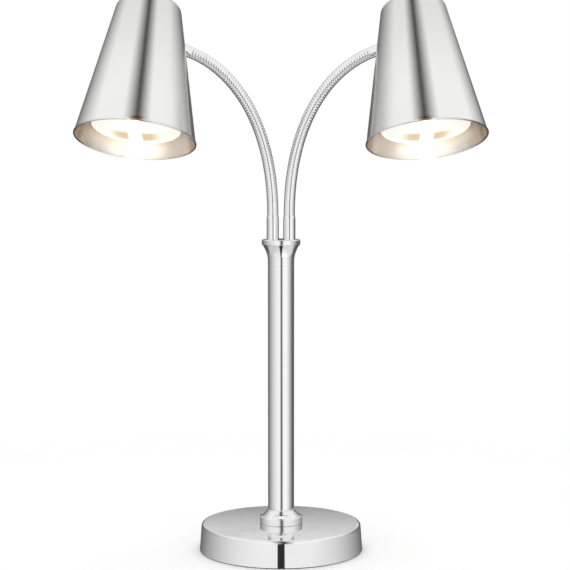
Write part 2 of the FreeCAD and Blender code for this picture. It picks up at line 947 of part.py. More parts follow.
def socket(side):
    place = head_frame(side)
    floor = "socket_top - socket_floor"
    keep(
        turned(
            f"{side}_socket",
            [
                ("socket_bore", "socket_mouth"),
                ("socket_radius", "socket_mouth"),
                ("socket_radius", "socket_top - socket_shoulder"),
                ("socket_neck", "socket_top"),
                ("0", "socket_top"),
                ("0", floor),
                ("socket_bore", floor),
            ],
            place,
        )
    )
    shell = "socket_bore - hole_gap"
    inside = f"{shell} - contact_wall"
    roof = f"{floor} - hole_gap"
    keep(
        turned(
            f"{side}_socket_shell",
            [
                (inside, "socket_mouth + contact_height"),
                (shell, "socket_mouth + contact_height"),
                (shell, roof),
                ("0", roof),
                ("0", f"{roof} - contact_wall"),
                (inside, f"{roof} - contact_wall"),
            ],
            place,
        )
    )


def bulb_outline(inset):
    """The reflector lamp's profile: domed face, round rim, bulged back and a throat down to the neck."""
    reach = f"(bulb_rim_radius - {inset})"
    dome = f"(bulb_face_radius - {inset})"
    rim_height = f"bulb_face + {inset} + {dome} - sqrt({dome}^2 - {reach}^2)"
    return [
        ("0", f"bulb_face + {inset}", dome),
        (reach, rim_height, f"bulb_corner_radius - {inset}"),
        (f"bulb_widest - {inset}", "bulb_widest_height", f"bulb_back_radius - {inset}"),
        (f"bulb_waist_radius - {inset}", "bulb_waist_height", f"-(bulb_throat_radius + {inset})"),
        (f"bulb_neck_radius - {inset}", "bulb_neck_height"),
        ("0", "bulb_neck_height"),
    ]


def heat_lamp(side):
    place = head_frame(side)
    outside = turned(f"{side}_bulb_outside", bulb_outline("0"), place)
    inside = turned(f"{side}_bulb_inside", bulb_outline("bulb_glass_wall"), place)
    keep(less(f"{side}_bulb_glass", outside, [inside]))
    inner = "screw_cap_radius - screw_cap_wall"
    tip = "screw_cap_end + contact_height"
    keep(
        turned(
            f"{side}_bulb_cap",
            [
                (inner, "screw_cap_start"),
                ("screw_cap_radius", "screw_cap_start"),
                ("screw_cap_radius", "screw_cap_shoulder"),
                ("2 * contact_radius", "screw_cap_end"),
                ("contact_radius", "screw_cap_end"),
                ("contact_radius", tip),
                ("0", tip),
                ("0", f"{tip} - contact_height - screw_cap_wall"),
                ("2 * contact_radius - screw_cap_wall", "screw_cap_end - screw_cap_wall"),
                (inner, "screw_cap_shoulder - screw_cap_wall"),
            ],
            place,
        )
    )


def filament(side):
    place = head_frame(side)
    stem = cylinder(
        f"{side}_stem", "stem_radius", "bulb_neck_height - stem_foot", lifted(place, "stem_foot")
    )
    coil = doc.addObject("Part::Torus", f"{side}_coil")
    coil.Placement = lifted(place, "coil_height")
    tie(coil, Radius1="coil_radius", Radius2="coil_wire")
    posts = []
    for name, sign in SIDES.items():
        start = place.multVec(Vector(sign * measure("stem_radius / 2"), 0, measure("stem_foot + post_root")))
        finish = place.multVec(Vector(sign * measure("coil_radius"), 0, measure("coil_height")))
        posts.append(wire(f"{side}_{name}_post", start, finish, "support_wire"))
    keep(fused(f"{side}_filament", [stem, coil] + posts))


# ---- fittings on the back of the base ----


def switch(side):
    place = wall_frame(SIDES[side] * measure("switch_azimuth"))
    flange = box(
        f"{side}_switch_flange",
        "flange_width",
        "flange_length",
        "flange_gauge",
        lifted(place, "thread_gap"),
    )
    barrel = box(
        f"{side}_switch_barrel",
        "switch_width",
        "switch_length",
        "switch_depth + thread_gap",
        lifted(place, "-switch_depth"),
    )
    well = box(
        f"{side}_switch_well",
        "rocker_well_width",
        "rocker_well_length",
        "rocker_well_depth + flange_gauge + thread_gap",
        lifted(place, "-rocker_well_depth"),
    )
    pin_start = Vector(-measure("pivot_length / 2 + hole_gap"), 0, -measure("pivot_depth"))
    across = Placement(pin_start, Rotation(Vector(0, 1, 0), 90))
    pin_hole = cylinder(
        f"{side}_switch_pin_hole",
        "pivot_radius + thread_gap",
        "pivot_length + 2 * hole_gap",
        place.multiply(across),
    )
    housing = fused(f"{side}_switch_housing", [flange, barrel])
    keep(less(f"{side}_switch_body", housing, [well, pin_hole]))


def rocker(side):
    """A shallow V that tips about a pin across the switch. It rests with its upper end pressed in."""
    place = wall_frame(SIDES[side] * measure("switch_azimuth"))
    pivot = Vector(0, 0, -measure("pivot_depth"))
    tilt = Placement(Vector(), Rotation(Vector(1, 0, 0), -measure("rocker_tilt")), pivot)
    body = new_body(f"{side}_rocker", place.multiply(tilt))
    profile = new_sketch(body, "YZ_Plane")
    outline(
        profile,
        [
            ("0", "rocker_valley"),
            ("-rocker_reach", "rocker_crest"),
            ("-rocker_heel", "-rocker_heel_depth"),
            ("0", "-rocker_keel"),
            ("rocker_heel", "-rocker_heel_depth"),
            ("rocker_reach", "rocker_crest"),
        ],
    )
    pin = new_sketch(body, "YZ_Plane")
    circle(pin, "0", "-pivot_depth", "pivot_radius")
    for name, sketch, length in (("slab", profile, "rocker_width"), ("pin", pin, "pivot_length")):
        pad = body.newObject("PartDesign::Pad", f"{side}_rocker_{name}")
        pad.Profile = sketch
        pad.SideType = "Symmetric"
        tie(pad, Length=length)
    keep(body)


def cord_gland():
    place = wall_frame(0)
    keep(
        turned(
            "cord_gland",
            [
                ("gland_bore", "-gland_thread"),
                ("gland_thread_radius", "-gland_thread"),
                ("gland_thread_radius", "thread_gap"),
                ("gland_radius", "thread_gap"),
                ("gland_radius", "gland_flange"),
                ("gland_nose_radius", "gland_flange"),
                ("gland_tip_radius", "gland_nose"),
                ("gland_bore", "gland_nose"),
            ],
            place,
        )
    )
    nut_place = lifted(place, "-gland_nut_near - gland_nut_height")
    nut_bore = "gland_thread_radius + thread_gap"
    keep(nut("gland_nut", "gland_nut_flats", "gland_nut_height", nut_bore, nut_place))


def terminal_block():
    floor = lifted(WORLD, "pad_gauge + plate_gauge", 0, measure("block_spot"))
    blank = box("block_blank", "block_length", "block_width", "block_height", floor)
    holes = []
    for number in (-1, 0, 1):
        place = lifted(floor, "block_height - block_screw_depth", number * measure("block_screw_pitch"))
        holes.append(cylinder(f"block_hole_{number + 1}", "block_screw_radius", "block_screw_depth", place))
    keep(less("terminal_block", blank, holes))


def switch_leads():
    """Two short leads from each end of the terminal block to the switch beside it."""
    leads = []
    level = Vector(0, measure("block_spot"), measure("pad_gauge + plate_gauge + block_height / 2"))
    for side, sign in SIDES.items():
        place = wall_frame(sign * measure("switch_azimuth"))
        for number, share in enumerate((-1, 1)):
            offset = share * measure("switch_width / 4")
            start = level + Vector(sign * measure("block_length / 2"), sign * offset, 0)
            finish = place.multVec(Vector(offset, 0, -measure("switch_depth")))
            clear = (finish - start).normalize() * measure("lead_clearance")
            leads.append(wire(f"{side}_switch_lead_{number}", start + clear, finish - clear, "lead_radius"))
    keep(group("switch_leads", leads))


# ---- build, check and write ----


def build():
    base_cover()
    base_plate()
    base_weight()
    plate_screws()
    base_pad()
    tie_rod()
    foot_collar()
    column_tube()
    column_cap()
    column_leads()
    neck_lock_nuts()
    cord_gland()
    terminal_block()
    switch_leads()
    for side in SIDES:
        switch(side)
        rocker(side)
        lower_ferrule(side)
        neck_links(side)
        upper_ferrule(side)
        neck_hub(side)
        shade(side)
        socket_bracket(side)
        socket(side)
        heat_lamp(side)
        filament(side)
    doc.recompute()


def check():
    for thing in doc.Objects:
        if "Invalid" in thing.State or "Error" in thing.State:
            raise RuntimeError(f"{thing.Label}: {thing.State}")
    for part in sub_parts:
        if part.Shape.isNull() or not part.Shape.isValid() or not part.Shape.Solids:
            raise RuntimeError(f"{part.Label}: no valid solid")


def write():
    os.makedirs("parts", exist_ok=True)
    for part in sub_parts:
        part.Shape.exportStep(os.path.join("parts", f"{part.Label}.step"))
        print(f"{part.Label}: {len(part.Shape.Solids)} solid(s), {part.Shape.Volume / 1000:.2f} cm3")
    print(f"{len(sub_parts)} nodes")


build()
check()
write()
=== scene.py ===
import json
import math

import bmesh
import bpy
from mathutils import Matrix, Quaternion, Vector

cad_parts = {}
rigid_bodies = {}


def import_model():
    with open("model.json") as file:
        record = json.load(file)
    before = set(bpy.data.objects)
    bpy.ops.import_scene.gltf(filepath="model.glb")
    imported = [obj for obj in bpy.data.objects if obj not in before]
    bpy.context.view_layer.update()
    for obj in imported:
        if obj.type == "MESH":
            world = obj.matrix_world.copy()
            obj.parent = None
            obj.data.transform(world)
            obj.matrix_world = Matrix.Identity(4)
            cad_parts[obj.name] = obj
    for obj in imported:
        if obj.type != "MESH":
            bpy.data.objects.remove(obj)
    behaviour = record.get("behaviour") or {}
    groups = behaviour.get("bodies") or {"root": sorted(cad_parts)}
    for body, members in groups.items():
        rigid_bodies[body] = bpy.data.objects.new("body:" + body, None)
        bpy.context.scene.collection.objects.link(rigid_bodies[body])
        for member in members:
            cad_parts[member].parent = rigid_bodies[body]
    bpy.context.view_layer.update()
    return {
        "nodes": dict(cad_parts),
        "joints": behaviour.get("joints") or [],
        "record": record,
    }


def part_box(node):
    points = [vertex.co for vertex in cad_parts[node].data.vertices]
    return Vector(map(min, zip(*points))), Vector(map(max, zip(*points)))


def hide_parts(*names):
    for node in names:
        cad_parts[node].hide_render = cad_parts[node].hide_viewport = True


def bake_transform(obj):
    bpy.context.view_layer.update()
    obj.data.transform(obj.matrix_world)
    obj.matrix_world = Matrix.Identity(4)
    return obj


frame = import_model()

SIDES = {"left": 1, "right": -1}  # the sign turns x towards the column
UP = Vector((0, 0, 1))

# ---- driving sizes, in metres and degrees ----

HEAD_LEAN = 4.82  # the top of each shade leans in to the column
HEAD_TIP = 18.07  # and back, so that the mouth opens to the front
SOCKET_SHELL_HEIGHT = 0.15795  # middle of the socket's shell above the shade's mouth
SHADE_RADIUS = 0.081
SHADE_LENGTH = 0.195
SHADE_WALL = 0.001
CONE_ANGLE = 11.28
BULB_RIM_HEIGHT = 0.0205
BULB_RIM_RADIUS = 0.0593
GLOW_OFFSET = 0.008  # sideways shift of the glow on the inner wall and of the painted reflection on the lip
LIP_REFLECTION_WIDTH = (0.003, 0.011)  # the painted warm reflection on the lip fades out between these distances
LIP_REFLECTION_HEIGHT = (0.003, 0.009)
WALL_GLOW_HEIGHT = (0.04, 0.07)  # the glow on the inner wall ends between these heights
SHADE_RING_DEPTH = 0.00001

# ---- brightness of the lamp's parts ----

FACE_LIGHT = 0.96
AMBER_LIGHT = 0.6
BAND_LOSS = 0.15
STREAK_LIGHT = 1.6
RIM_LIGHT = 0.7

# ---- gooseneck sizes ----

NECK_RADIUS = 0.0078
NECK_END_GAP = 0.0012
RIDGES_PER_LINK = 9
RIDGE_DEPTH = 0.00035
RIDGE_STEPS = 8
NECK_SEGMENTS = 48

# ---- camera, light and stage ----

CAMERA_PLACE = (0, -2.2212, 0.5443)
CAMERA_PITCH = -4.41
CAMERA_YAW = -0.142
CAMERA_LENS = 101.05  # in millimetres, like the sensor
CAMERA_SENSOR = 36

OVERHEAD_SIZE = 3.0
OVERHEAD_HEIGHT = 2.6
OVERHEAD_POWER = 110.0  # in watts

FLOOR_RADIUS = 1.2
FLOOR_SEGMENTS = 128
FLOOR_FADE = (0.4, 0.95)  # the floor fades out between these shares of its radius
ARCH_RADIUS = 1.5
ARCH_HEIGHT = 0.45
ARCH_LOW, ARCH_HIGH = -35, 75
ARCH_REACH = 0.53
ARCH_STEP = 5
TABLE_GLOW_RADIUS = 1.05
TABLE_RING_RADIUS = 0.15
TABLE_RING_LOW, TABLE_RING_HIGH = -0.02, 0.03
TABLE_RING_GAP = 0.0081
TABLE_RING_STEP = 3

WALL_LEAST = 0.13  # the least brightness of the walls
BELOW_SHARE = 0.13  # of the walls' brightness that is left far below the horizon
WALL_LEVEL, WALL_FALL = 0.54, 0.516  # of the walls at the sides, and its loss towards the back
CEILING_LEVEL = 1.12


# ---- shader node helpers ----


def add(tree, kind, inputs=None, **settings):
    """Adds a shader node; inputs may be sockets to link from or plain values."""
    node = tree.nodes.new("ShaderNode" + kind)
    for name, value in settings.items():
        setattr(node, name, value)
    for name, value in (inputs or {}).items():
        if isinstance(value, bpy.types.NodeSocket):
            tree.links.new(value, node.inputs[name])
        else:
            node.inputs[name].default_value = value
    return node


def maths(tree, operation, *values):
    return add(tree, "Math", dict(enumerate(values)), operation=operation).outputs[0]


def remap(tree, value, low, high, start, finish, smooth=True):
    """Takes value from low..high to start..finish, and holds it at both ends."""
    inputs = {"Value": value, "From Min": low, "From Max": high, "To Min": start, "To Max": finish}
    kind = "SMOOTHSTEP" if smooth else "LINEAR"
    return add(tree, "MapRange", inputs, interpolation_type=kind).outputs["Result"]


def rise(tree, value, low, high):
    return remap(tree, value, low, high, 0.0, 1.0)


def fall(tree, value, low, high):
    return remap(tree, value, low, high, 1.0, 0.0)


def product(tree, value, *factors):
    """Multiplies all the values together, from left to right."""
    for factor in factors:
        value = maths(tree, "MULTIPLY", value, factor)
    return value


def highest(tree, value, *others):
    for other in others:
        value = maths(tree, "MAXIMUM", value, other)
    return value


def distance(tree, value, centre=0.0):
    """How far value is from centre, on either side."""
    return maths(tree, "ABSOLUTE", maths(tree, "SUBTRACT", value, centre) if centre else value)


def separate(tree, place):
    """The x, y and z of a place or direction."""
    split = add(tree, "SeparateXYZ", {"Vector": place}).outputs
    return split["X"], split["Y"], split["Z"]


def blend_colours(tree, factor, first, second):
    mix = add(tree, "Mix", {"Factor": factor}, data_type="RGBA")
    for socket, value in ((mix.inputs[6], first), (mix.inputs[7], second)):
        if isinstance(value, bpy.types.NodeSocket):
            tree.links.new(value, socket)
        else:
            socket.default_value = (*value, 1)
    return mix.outputs[2]


def noise(tree, place, scale, detail=2.0, stretch=(1, 1, 1)):
    """Smooth noise from 0 to 1; stretch makes its grain finer along some axes."""
    spread = add(tree, "Mapping", {"Vector": place, "Scale": stretch}).outputs["Vector"]
    inputs = {"Vector": spread, "Scale": scale, "Detail": detail}
    return add(tree, "TexNoise", inputs).outputs["Fac"]


def bump(tree, height, depth, strength=1.0):
    inputs = {"Height": height, "Distance": depth, "Strength": strength}
    return add(tree, "Bump", inputs).outputs["Normal"]


def new_material(name, **values):
    """A material of one Principled shader. values are its sockets' plain values."""
    material = bpy.data.materials.new(name)
    material.use_nodes = True
    tree = material.node_tree
    shader = tree.nodes["Principled BSDF"]
    for socket, value in values.items():
        shader.inputs[socket.replace("_", " ")].default_value = value
    return material, tree, shader


def drive(tree, shader, **sockets):
    """Links values to the shader's sockets; an underscore stands for a space in a socket's name."""
    for socket, value in sockets.items():
        tree.links.new(value, shader.inputs[socket.replace("_", " ")])


def object_place(tree):
    return add(tree, "TexCoord").outputs["Object"]


# ---- metals ----


def chrome(name, tint, roughness, ripple):
    """Bright plate: a breath of haze, hairline polishing marks and a very slight ripple."""
    material, tree, shader = new_material(name, Metallic=1.0, IOR=2.5)
    place = object_place(tree)
    haze = noise(tree, place, 38.0, 3.0)
    hairlines = noise(tree, place, 1.0, 2.0, (90, 90, 2600))
    waves = noise(tree, place, 14.0, 1.0)
    rough = remap(tree, haze, 0.3, 0.8, roughness, roughness * 1.8)
    rough = maths(tree, "ADD", rough, product(tree, hairlines, roughness * 0.4))
    drive(
        tree,
        shader,
        Base_Color=blend_colours(tree, haze, [c * 0.96 for c in tint], tint),
        Roughness=rough,
        Normal=bump(tree, waves, ripple),
    )
    return material


def head_axis(side):
    """The middle of the shade's mouth, and the axis from there to the closed end."""
    low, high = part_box(f"{side}_socket_shell")
    lean, tip = math.radians(HEAD_LEAN), math.radians(HEAD_TIP)
    axis = Vector(
        (SIDES[side] * math.sin(lean) * math.cos(tip), math.sin(tip), math.cos(lean) * math.cos(tip))
    )
    return (low + high) / 2 - axis * SOCKET_SHELL_HEIGHT, axis


def head_place(tree, side):
    """Coordinates on the head: z runs up the shade's axis from its mouth, and y to the back."""
    mouth, axis = head_axis(side)
    turn = UP.rotation_difference(axis).to_euler()
    inputs = {"Vector": object_place(tree), "Location": mouth, "Rotation": turn}
    return add(tree, "Mapping", inputs, vector_type="TEXTURE").outputs["Vector"]


def head_coordinates(tree, place):
    """A place on the head as x and y across it, the height up its axis and the distance out from it."""
    x, y, height = separate(tree, place)
    across = add(tree, "CombineXYZ", {"X": x, "Y": y}).outputs["Vector"]
    radius = add(tree, "VectorMath", {0: across}, operation="LENGTH").outputs["Value"]
    return x, y, height, radius


def around_axis(tree, side):
    """The direction round the shade, along which the metal is brushed."""
    mouth, axis = head_axis(side)
    arm = add(tree, "VectorMath", {0: object_place(tree), 1: mouth}, operation="SUBTRACT")
    cross = add(tree, "VectorMath", {0: axis, 1: arm.outputs[0]}, operation="CROSS_PRODUCT")
    return add(
        tree,
        "VectorTransform",
        {"Vector": cross.outputs[0]},
        vector_type="VECTOR",
        convert_from="OBJECT",
        convert_to="WORLD",
    ).outputs["Vector"]


def inside_shade(tree, height, radius):
    """1 on the shade's inner wall below its closed end, and 0 on its outside."""
    wall = maths(tree, "MULTIPLY_ADD", height, -math.tan(math.radians(CONE_ANGLE)), SHADE_RADIUS)
    depth = maths(tree, "SUBTRACT", wall, radius)
    inner = rise(tree, depth, 0.4 * SHADE_WALL, 0.6 * SHADE_WALL)
    return product(tree, inner, fall(tree, height, 0.93 * SHADE_LENGTH, 0.94 * SHADE_LENGTH))


def shade_outside(tree, side, cloud, x, y, height):
    """Bright metal with painted shade that darkens it towards the closed end, and a painted warm reflection
    as a spot on the lip at the front.
    """
    mouth_metal = blend_colours(tree, cloud, (0.87, 0.87, 0.86), (0.93, 0.93, 0.92))
    # painted shade: the metal's colour darkens towards the closed end
    painted_top_shade = rise(tree, height, 0.2 * SHADE_LENGTH, SHADE_LENGTH)
    metal = blend_colours(tree, painted_top_shade, mouth_metal, (0.76, 0.76, 0.75))
    # painted reflection: a warm brown spot on the lip at the front stands in for the lamp's glow mirrored
    # there
    spot = fall(tree, distance(tree, x, SIDES[side] * GLOW_OFFSET), *LIP_REFLECTION_WIDTH)
    low = fall(tree, height, *LIP_REFLECTION_HEIGHT)
    in_front = maths(tree, "LESS_THAN", y, 0.0)
    return blend_colours(tree, product(tree, spot, low, in_front), metal, (0.62, 0.34, 0.2))


def shade_inside(tree, cloud, y):
    """Satin with a warm tint, partly heat tint and partly the lamp's warm light painted in, and painted
    shade that makes it much darker towards the front.
    """
    # warm tint: partly heat tint, partly the lamp's warm light painted into the colour
    satin = blend_colours(tree, cloud, (0.84, 0.79, 0.73), (0.92, 0.88, 0.83))
    # painted shade: the inner wall darkens towards the front
    painted_front_shade = fall(tree, y, 0.2 * SHADE_RADIUS, 0.7 * SHADE_RADIUS)
    return blend_colours(tree, painted_front_shade, satin, (0.36, 0.3, 0.25))


def shade_roughness(tree, side, rings, inside, x):
    """Finely ringed, and rougher inside and in the band that faces the neck."""
    rough = remap(tree, rings, 0.25, 0.75, 0.14, 0.2)
    rough = maths(tree, "MULTIPLY_ADD", inside, 0.12, rough)
    to_column = product(tree, x, SIDES[side])
    facing_neck = remap(tree, to_column, 0.35 * SHADE_RADIUS, 0.55 * SHADE_RADIUS, 0.0, 0.14)
    past_neck = fall(tree, to_column, 0.7 * SHADE_RADIUS, 0.9 * SHADE_RADIUS)
    return maths(tree, "MULTIPLY_ADD", facing_neck, past_neck, rough)


def shade_glow(tree, side, inside, x, y, height):
    """The lamp's light on the inner wall at the back: its strength and its colour."""
    aside = distance(tree, x, -SIDES[side] * GLOW_OFFSET)
    from_back = maths(tree, "ARCTAN2", aside, y)
    core = remap(tree, from_back, math.radians(7), math.radians(11), 0.75, 0.25)
    spread = fall(tree, from_back, math.radians(13), math.radians(38))
    strength = product(tree, core, spread, inside, fall(tree, height, *WALL_GLOW_HEIGHT))
    fringe = rise(tree, from_back, math.radians(7), math.radians(13))
    return strength, blend_colours(tree, fringe, (1.0, 0.95, 0.86), (1.0, 0.8, 0.62))


def spun_aluminium(side):
    """Bright shade metal with fine rings from the spinning lathe, and a warm satin inside whose tint is
    partly heat tint and partly painted light.
    """
    name = f"{side}_spun_aluminium"
    material, tree, shader = new_material(name, Metallic=1.0, Anisotropic=0.6, Anisotropic_Rotation=0.25)
    place = head_place(tree, side)
    x, y, height, radius = head_coordinates(tree, place)
    inside = inside_shade(tree, height, radius)
    rings = noise(tree, place, 1.0, 4.0, (9, 9, 2200))
    cloud = noise(tree, place, 22.0, 3.0)
    outer_metal = shade_outside(tree, side, cloud, x, y, height)
    inner_metal = shade_inside(tree, cloud, y)
    glow, warm = shade_glow(tree, side, inside, x, y, height)
    drive(
        tree,
        shader,
        Base_Color=blend_colours(tree, inside, outer_metal, inner_metal),
        Roughness=shade_roughness(tree, side, rings, inside, x),
        Tangent=around_axis(tree, side),
        Normal=bump(tree, rings, SHADE_RING_DEPTH),
        Emission_Color=warm,
        Emission_Strength=glow,
    )
    return material


def plated_steel():
    """Zinc-plated hardware: pale, slightly mottled and a little worn."""
    material, tree, shader = new_material("plated_steel", Metallic=1.0)
    place = object_place(tree)
    spangle = noise(tree, place, 320.0, 2.0)
    stain = noise(tree, place, 45.0, 4.0)
    drive(
        tree,
        shader,
        Base_Color=blend_colours(tree, stain, (0.5, 0.51, 0.52), (0.68, 0.69, 0.7)),
        Roughness=remap(tree, spangle, 0.3, 0.7, 0.24, 0.4),
        Normal=bump(tree, spangle, 0.00004),
    )
    return material


def cast_iron():
    """Rough casting: gritty, with patches of scale."""
    material, tree, shader = new_material("cast_iron", Metallic=0.6)
    place = object_place(tree)
    grit = noise(tree, place, 700.0, 5.0)
    scale = noise(tree, place, 30.0, 4.0)
    drive(
        tree,
        shader,
        Base_Color=blend_colours(tree, scale, (0.05, 0.05, 0.055), (0.14, 0.13, 0.12)),
        Roughness=remap(tree, grit, 0.3, 0.7, 0.6, 0.85),
        Normal=bump(tree, grit, 0.0004),
    )
    return material


def brass(name, dull, bright):
    """Turned or pressed brass, rougher and browner where it has tarnished."""
    material, tree, shader = new_material(name, Metallic=1.0)
    tarnish = noise(tree, object_place(tree), 90.0, 4.0)
    drive(
        tree,
        shader,
        Base_Color=blend_colours(tree, tarnish, dull, bright),
        Roughness=remap(tree, tarnish, 0.3, 0.7, 0.34, 0.18),
    )
    return material


def tungsten():
    """Glowing wire, unevenly hot along its length."""
    material, tree, shader = new_material("tungsten", Metallic=1.0, Emission_Strength=6.0)
    heat = noise(tree, object_place(tree), 400.0, 2.0)
    drive(
        tree,
        shader,
        Emission_Color=blend_colours(tree, heat, (1.0, 0.45, 0.12), (1.0, 0.66, 0.3)),
        Base_Color=blend_colours(tree, heat, (0.3, 0.29, 0.28), (0.5, 0.48, 0.46)),
    )
    return material


# ---- plastics, rubber, ceramic and glass ----


def moulded(name, dark, light, roughness, grain, depth):
    """Moulded plastic or rubber: an even tone under a fine texture."""
    material, tree, shader = new_material(name)
    place = object_place(tree)
    cloud = noise(tree, place, 60.0, 3.0)
    pores = noise(tree, place, grain, 2.0)
    drive(
        tree,
        shader,
        Base_Color=blend_colours(tree, cloud, dark, light),
        Roughness=remap(tree, pores, 0.3, 0.7, roughness * 0.85, roughness * 1.15),
        Normal=bump(tree, pores, depth),
    )
    return material


def woven_sleeving():
    """Heat-proof glass sleeving over the wires, with its braid."""
    material, tree, shader = new_material("woven_sleeving", Roughness=0.8)
    inputs = {"Vector": object_place(tree), "Scale": 420.0, "Distortion": 0.6, "Detail": 1.0}
    braid = add(tree, "TexWave", inputs, bands_direction="DIAGONAL").outputs["Fac"]
    drive(
        tree,
        shader,
        Base_Color=blend_colours(tree, braid, (0.55, 0.52, 0.45), (0.8, 0.78, 0.7)),
        Normal=bump(tree, braid, 0.0001),
    )
    return material


def porcelain():
    """Glazed ceramic, a little uneven under its glaze."""
    material, tree, shader = new_material("porcelain", Coat_Weight=0.6, Coat_Roughness=0.08)
    glaze = noise(tree, object_place(tree), 70.0, 3.0)
    drive(
        tree,
        shader,
        Base_Color=blend_colours(tree, glaze, (0.78, 0.76, 0.7), (0.86, 0.85, 0.8)),
        Roughness=remap(tree, glaze, 0.3, 0.7, 0.12, 0.22),
        Normal=bump(tree, glaze, 0.0003),
    )
    return material


def amber_patches(tree, x, y):
    """1 in the two darker amber patches of the lamp's face, beside its streak: a painted reflection of the
    shade in the glass.
    """
    past_front = rise(tree, y, -0.3 * BULB_RIM_RADIUS, -0.1 * BULB_RIM_RADIUS)
    near_middle = fall(tree, distance(tree, x), 0.25 * BULB_RIM_RADIUS, 0.7 * BULB_RIM_RADIUS)
    not_far = fall(tree, y, 0.2 * BULB_RIM_RADIUS, 0.5 * BULB_RIM_RADIUS)
    return product(tree, past_front, near_middle, not_far)


def glowing_glass(side):
    """The lit lamp: a warm frosted face with the filament's streak, a painted cream highlight on the rim,
    painted amber reflections beside the streak, a silvered back.
    """
    material, tree, shader = new_material(f"{side}_glowing_glass", Roughness=0.25, IOR=1.5)
    place = head_place(tree, side)
    x, y, height, radius = head_coordinates(tree, place)
    frost = noise(tree, place, 900.0, 2.0)
    band = rise(tree, radius, 0.68 * BULB_RIM_RADIUS, 0.76 * BULB_RIM_RADIUS)
    # painted highlight: the glass edge at the rim glows cream
    rim = rise(tree, radius, 0.93 * BULB_RIM_RADIUS, 0.97 * BULB_RIM_RADIUS)
    streak = fall(tree, distance(tree, x), 0.1 * BULB_RIM_RADIUS, 0.22 * BULB_RIM_RADIUS)
    silvered = rise(tree, height, BULB_RIM_HEIGHT, 1.5 * BULB_RIM_HEIGHT)
    # painted reflection: two darker amber patches in the face's glow
    amber = amber_patches(tree, x, y)
    disc_glow = blend_colours(tree, amber, (1.0, 0.95, 0.88), (1.0, 0.7, 0.38))
    face_glow = blend_colours(tree, band, disc_glow, (1.0, 0.94, 0.86))
    disc_light = remap(tree, amber, 0.0, 1.0, FACE_LIGHT, AMBER_LIGHT)
    face_light = product(tree, disc_light, maths(tree, "MULTIPLY_ADD", band, -BAND_LOSS, 1.0))
    streak_light = product(tree, streak, STREAK_LIGHT)
    light = highest(tree, face_light, streak_light, product(tree, rim, RIM_LIGHT))
    drive(
        tree,
        shader,
        Base_Color=blend_colours(tree, silvered, (0.3, 0.28, 0.25), (0.8, 0.78, 0.74)),
        Metallic=silvered,
        Emission_Color=blend_colours(tree, highest(tree, rim, streak), face_glow, (1.0, 0.9, 0.76)),
        Emission_Strength=product(tree, light, maths(tree, "SUBTRACT", 1.0, silvered)),
        Normal=bump(tree, frost, 0.00002),
    )
    return material


MOULDED_SLOTS = {  # each slot's dark and light tones, roughness, grain and depth of grain
    "pad_rubber": ((0.02, 0.02, 0.02), (0.035, 0.035, 0.034), 0.75, 900, 0.0001),
    "black_plastic": ((0.016, 0.016, 0.017), (0.024, 0.024, 0.024), 0.45, 1400, 0.00006),
    "rocker_plastic": ((0.012, 0.012, 0.013), (0.02, 0.02, 0.02), 0.2, 500, 0.00001),
    "block_plastic": ((0.66, 0.62, 0.52), (0.76, 0.73, 0.64), 0.5, 800, 0.00004),
}


def dress_cad_nodes():
    """Gives every CAD node the procedural material of its slot in the record."""
    chrome_tint = (0.9, 0.9, 0.91)
    looks = {
        "base_chrome": chrome("base_chrome", chrome_tint, 0.05, 0.00002),
        "column_chrome": chrome("column_chrome", chrome_tint, 0.04, 0.000005),
        "neck_chrome": chrome("neck_chrome", chrome_tint, 0.06, 0.000005),
        "hardware_steel": plated_steel(),
        "ballast_iron": cast_iron(),
        "lead_insulation": woven_sleeving(),
        "porcelain": porcelain(),
        "socket_brass": brass("socket_brass", (0.5, 0.36, 0.14), (0.78, 0.62, 0.3)),
        "cap_brass": brass("cap_brass", (0.55, 0.44, 0.22), (0.8, 0.68, 0.42)),
        "filament_wire": tungsten(),
    }
    for slot, look in MOULDED_SLOTS.items():
        looks[slot] = moulded(slot, *look)
    own = {}
    for side in SIDES:
        own[f"{side}_shade"] = spun_aluminium(side)
        own[f"{side}_bulb_glass"] = glowing_glass(side)
    for part in frame["record"]["subparts"]:
        node = part["node"]
        mesh = frame["nodes"][node].data
        mesh.materials.clear()
        mesh.materials.append(own.get(node) or looks[part["material_slot"]])
    return looks


# ---- goosenecks ----


def neck_chain(side):
    """The joints of one neck, in order from the column to the head."""
    by_parent = {j["parent"]: j for j in frame["joints"] if j["name"].startswith(f"{side}_neck")}
    chain = []
    body = "stand"
    while body in by_parent:
        chain.append(by_parent[body])
        body = by_parent[body]["child"]
    return chain


class NeckLine:
    """The neck's centreline: one arc between each joint and the next, all in one plane."""

    def __init__(self, chain):
        self.points = [Vector(joint["pos_m"]) for joint in chain]
        self.across = Vector(chain[0]["axis"]).normalized()
        self.headings = [UP.copy()]
        for here, there in zip(self.points, self.points[1:]):
            chord = (there - here).normalized()
            last = self.headings[-1]
            self.headings.append(2 * last.dot(chord) * chord - last)

    def at(self, spot):
        """Place and heading at spot: 0 is the first joint, 1 the next; straight past both ends."""
        index = min(max(int(math.floor(spot)), 0), len(self.points) - 2)
        share = spot - index
        here, there = self.points[index], self.points[index + 1]
        if share < 0 or share > 1:
            end = here if share < 0 else there
            heading = self.headings[index if share < 0 else index + 1]
            extra = share if share < 0 else share - 1
            return end + heading * (extra * (there - here).length), heading
        start, finish = self.headings[index], self.headings[index + 1]
        turn = start.angle(finish)
        spin = Quaternion(start.cross(finish).normalized(), turn * share)
        heading = spin @ start
        radius = (there - here).length / (2 * math.sin(turn / 2))
        inward = (finish - start * start.dot(finish)).normalized()
        centre = here + inward * radius
        return centre + spin @ (here - centre), heading


def ridge(spot, angle):
    """How far the wound strip stands below the tube's full radius: rounded crests, narrow grooves."""
    phase = (spot * RIDGES_PER_LINK - angle / (2 * math.pi)) % 1.0
    return RIDGE_DEPTH * abs(2 * phase - 1) ** 3


